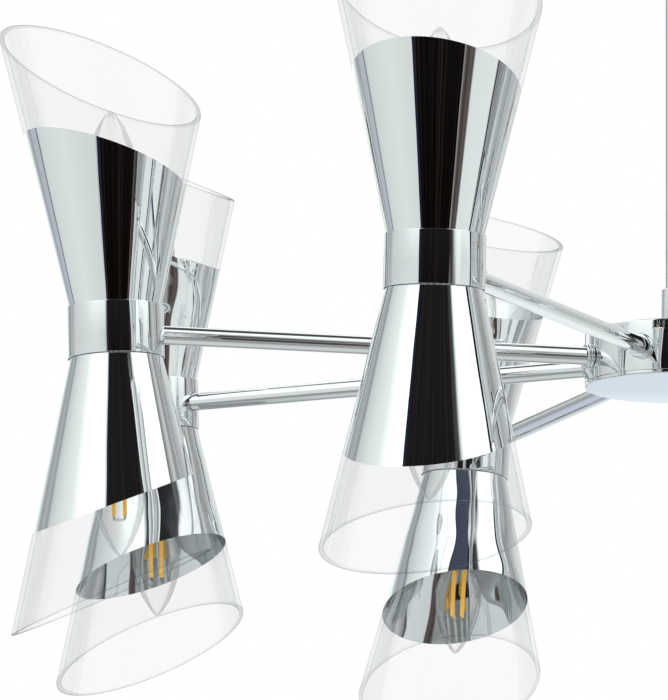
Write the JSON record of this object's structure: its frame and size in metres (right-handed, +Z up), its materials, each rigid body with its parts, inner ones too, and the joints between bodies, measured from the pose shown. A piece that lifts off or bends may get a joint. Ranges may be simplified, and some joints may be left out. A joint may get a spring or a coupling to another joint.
{
  "type": "multi arm chandelier",
  "caption": "Ceiling chandelier: straight chrome arms from a round hub, each ending in a collar with slanted, half-mirrored glass cones that light up and down.",
  "frame": {"origin": "centre of the ceiling face, on the mounting bar", "axes": "+Z up, out of the ceiling face; the mounting bar lies along X"},
  "size_m": [0.9148, 0.9231, 0.6867],
  "materials": {
    "chrome": "polished",
    "shade_glass": "clear, polished",
    "mirror_plating": "mirror coating on the outside of the glass",
    "lamp_glass": "clear, polished",
    "holder_plastic": "satin moulded",
    "cap_metal": "bright nickel",
    "filament": "yellow phosphor coating"
  },
  "bodies": {
    "suspension": {"suspension_rod": "chrome"},
    "canopy": {"ceiling_canopy": "chrome"},
    "hub": {"hub_housing": "chrome", "hub_cover": "chrome"},
    "arm_1_unit": {"arm_1": "chrome", "collar_1": "chrome", "lampholders_1": "holder_plastic", "upper_shade_1": "shade_glass", "lower_shade_1": "shade_glass"},
    "upper_lamp_1_unit": {"upper_lamp_1": "lamp_glass"},
    "lower_lamp_1_unit": {"lower_lamp_1": "lamp_glass"},
    "arm_2_unit": {"arm_2": "chrome", "collar_2": "chrome", "lampholders_2": "holder_plastic", "upper_shade_2": "shade_glass", "lower_shade_2": "shade_glass"},
    "upper_lamp_2_unit": {"upper_lamp_2": "lamp_glass"},
    "lower_lamp_2_unit": {"lower_lamp_2": "lamp_glass"},
    "arm_3_unit": {"arm_3": "chrome", "collar_3": "chrome", "lampholders_3": "holder_plastic", "upper_shade_3": "shade_glass", "lower_shade_3": "shade_glass"},
    "upper_lamp_3_unit": {"upper_lamp_3": "lamp_glass"},
    "lower_lamp_3_unit": {"lower_lamp_3": "lamp_glass"},
    "arm_4_unit": {"arm_4": "chrome", "collar_4": "chrome", "lampholders_4": "holder_plastic", "upper_shade_4": "shade_glass", "lower_shade_4": "shade_glass"},
    "upper_lamp_4_unit": {"upper_lamp_4": "lamp_glass"},
    "lower_lamp_4_unit": {"lower_lamp_4": "lamp_glass"},
    "arm_5_unit": {"arm_5": "chrome", "collar_5": "chrome", "lampholders_5": "holder_plastic", "upper_shade_5": "shade_glass", "lower_shade_5": "shade_glass"},
    "upper_lamp_5_unit": {"upper_lamp_5": "lamp_glass"},
    "lower_lamp_5_unit": {"lower_lamp_5": "lamp_glass"},
    "arm_6_unit": {"arm_6": "chrome", "collar_6": "chrome", "lampholders_6": "holder_plastic", "upper_shade_6": "shade_glass", "lower_shade_6": "shade_glass"},
    "upper_lamp_6_unit": {"upper_lamp_6": "lamp_glass"},
    "lower_lamp_6_unit": {"lower_lamp_6": "lamp_glass"},
    "arm_7_unit": {"arm_7": "chrome", "collar_7": "chrome", "lampholders_7": "holder_plastic", "upper_shade_7": "shade_glass", "lower_shade_7": "shade_glass"},
    "upper_lamp_7_unit": {"upper_lamp_7": "lamp_glass"},
    "lower_lamp_7_unit": {"lower_lamp_7": "lamp_glass"},
    "arm_8_unit": {"arm_8": "chrome", "collar_8": "chrome", "lampholders_8": "holder_plastic", "upper_shade_8": "shade_glass", "lower_shade_8": "shade_glass"},
    "upper_lamp_8_unit": {"upper_lamp_8": "lamp_glass"},
    "lower_lamp_8_unit": {"lower_lamp_8": "lamp_glass"}
  },
  "joints": [
    {"name": "canopy_slide", "type": "slide", "parent": "suspension", "child": "canopy", "axis": [0, 0, -1], "range_m": [0, 0.36]},
    {"name": "hub_turn", "type": "hinge", "parent": "suspension", "child": "hub", "pos_m": [0, 0, -0.47], "axis": [0, 0, 1], "range_deg": [-170, 170]},
    {"name": "arm_1_turn", "type": "hinge", "parent": "hub", "child": "arm_1_unit", "pos_m": [0, 0, -0.47], "axis": [0.9214, 0.3883, -0.0131], "range_deg": [-15, 15]},
    {"name": "upper_lamp_1_unscrew", "type": "hinge", "parent": "arm_1_unit", "child": "upper_lamp_1_unit", "pos_m": [0.37737, 0.15902, -0.42336], "axis": [0.0273, 0.0115, 0.9996], "range_deg": [0, 360]},
    {"name": "lower_lamp_1_unscrew", "type": "hinge", "parent": "arm_1_unit", "child": "lower_lamp_1_unit", "pos_m": [0.37453, 0.15782, -0.52732], "axis": [-0.0273, -0.0115, -0.9996], "range_deg": [0, 360]},
    {"name": "arm_2_turn", "type": "hinge", "parent": "hub", "child": "arm_2_unit", "pos_m": [0, 0, -0.47], "axis": [0.377, 0.9261, -0.0131], "range_deg": [-15, 15]},
    {"name": "upper_lamp_2_unscrew", "type": "hinge", "parent": "arm_2_unit", "child": "upper_lamp_2_unit", "pos_m": [0.1544, 0.37929, -0.42336], "axis": [0.0112, 0.0275, 0.9996], "range_deg": [0, 360]},
    {"name": "lower_lamp_2_unscrew", "type": "hinge", "parent": "arm_2_unit", "child": "lower_lamp_2_unit", "pos_m": [0.15323, 0.37643, -0.52732], "axis": [-0.0112, -0.0275, -0.9996], "range_deg": [0, 360]},
    {"name": "arm_3_turn", "type": "hinge", "parent": "hub", "child": "arm_3_unit", "pos_m": [0, 0, -0.47], "axis": [-0.3883, 0.9215, -0.0122], "range_deg": [-15, 15]},
    {"name": "upper_lamp_3_unscrew", "type": "hinge", "parent": "arm_3_unit", "child": "upper_lamp_3_unit", "pos_m": [-0.15597, 0.37807, -0.42309], "axis": [0.0472, 0.0407, 0.9981], "range_deg": [0, 360]},
    {"name": "lower_lamp_3_unscrew", "type": "hinge", "parent": "arm_3_unit", "child": "lower_lamp_3_unit", "pos_m": [-0.16088, 0.37384, -0.52688], "axis": [-0.0472, -0.0407, -0.9981], "range_deg": [0, 360]},
    {"name": "arm_4_turn", "type": "hinge", "parent": "hub", "child": "arm_4_unit", "pos_m": [0, 0, -0.47], "axis": [-0.9221, 0.3867, -0.0113], "range_deg": [-15, 15]},
    {"name": "upper_lamp_4_unscrew", "type": "hinge", "parent": "arm_4_unit", "child": "upper_lamp_4_unit", "pos_m": [-0.37763, 0.15491, -0.42273], "axis": [-0.0268, -0.055, 0.9981], "range_deg": [0, 360]},
    {"name": "lower_lamp_4_unscrew", "type": "hinge", "parent": "arm_4_unit", "child": "lower_lamp_4_unit", "pos_m": [-0.37484, 0.16063, -0.52653], "axis": [0.0268, 0.055, -0.9981], "range_deg": [0, 360]},
    {"name": "arm_5_turn", "type": "hinge", "parent": "hub", "child": "arm_5_unit", "pos_m": [0, 0, -0.47], "axis": [-0.9227, -0.385, -0.0209], "range_deg": [-15, 15]},
    {"name": "upper_lamp_5_unscrew", "type": "hinge", "parent": "arm_5_unit", "child": "upper_lamp_5_unit", "pos_m": [-0.37828, -0.15824, -0.42659], "axis": [-0.0352, -0.0222, 0.9991], "range_deg": [0, 360]},
    {"name": "lower_lamp_5_unscrew", "type": "hinge", "parent": "arm_5_unit", "child": "lower_lamp_5_unit", "pos_m": [-0.37462, -0.15593, -0.5305], "axis": [0.0352, 0.0222, -0.9991], "range_deg": [0, 360]},
    {"name": "arm_6_turn", "type": "hinge", "parent": "hub", "child": "arm_6_unit", "pos_m": [0, 0, -0.47], "axis": [-0.377, -0.9262, -0.0079], "range_deg": [-15, 15]},
    {"name": "upper_lamp_6_unscrew", "type": "hinge", "parent": "arm_6_unit", "child": "upper_lamp_6_unit", "pos_m": [-0.15284, -0.38122, -0.42132], "axis": [0.019, -0.0642, 0.9978], "range_deg": [0, 360]},
    {"name": "lower_lamp_6_unscrew", "type": "hinge", "parent": "arm_6_unit", "child": "lower_lamp_6_unit", "pos_m": [-0.15481, -0.37454, -0.52509], "axis": [-0.019, 0.0642, -0.9978], "range_deg": [0, 360]},
    {"name": "arm_7_turn", "type": "hinge", "parent": "hub", "child": "arm_7_unit", "pos_m": [0, 0, -0.47], "axis": [0.3883, -0.9214, -0.0131], "range_deg": [-15, 15]},
    {"name": "upper_lamp_7_unscrew", "type": "hinge", "parent": "arm_7_unit", "child": "upper_lamp_7_unit", "pos_m": [0.15902, -0.37737, -0.42336], "axis": [0.0115, -0.0273, 0.9996], "range_deg": [0, 360]},
    {"name": "lower_lamp_7_unscrew", "type": "hinge", "parent": "arm_7_unit", "child": "lower_lamp_7_unit", "pos_m": [0.15782, -0.37453, -0.52732], "axis": [-0.0115, 0.0273, -0.9996], "range_deg": [0, 360]},
    {"name": "arm_8_turn", "type": "hinge", "parent": "hub", "child": "arm_8_unit", "pos_m": [0, 0, -0.47], "axis": [0.9261, -0.377, -0.0131], "range_deg": [-15, 15]},
    {"name": "upper_lamp_8_unscrew", "type": "hinge", "parent": "arm_8_unit", "child": "upper_lamp_8_unit", "pos_m": [0.37929, -0.1544, -0.42336], "axis": [0.0275, -0.0112, 0.9996], "range_deg": [0, 360]},
    {"name": "lower_lamp_8_unscrew", "type": "hinge", "parent": "arm_8_unit", "child": "lower_lamp_8_unit", "pos_m": [0.37643, -0.15323, -0.52732], "axis": [-0.0275, 0.0112, -0.9996], "range_deg": [0, 360]}
  ]
}
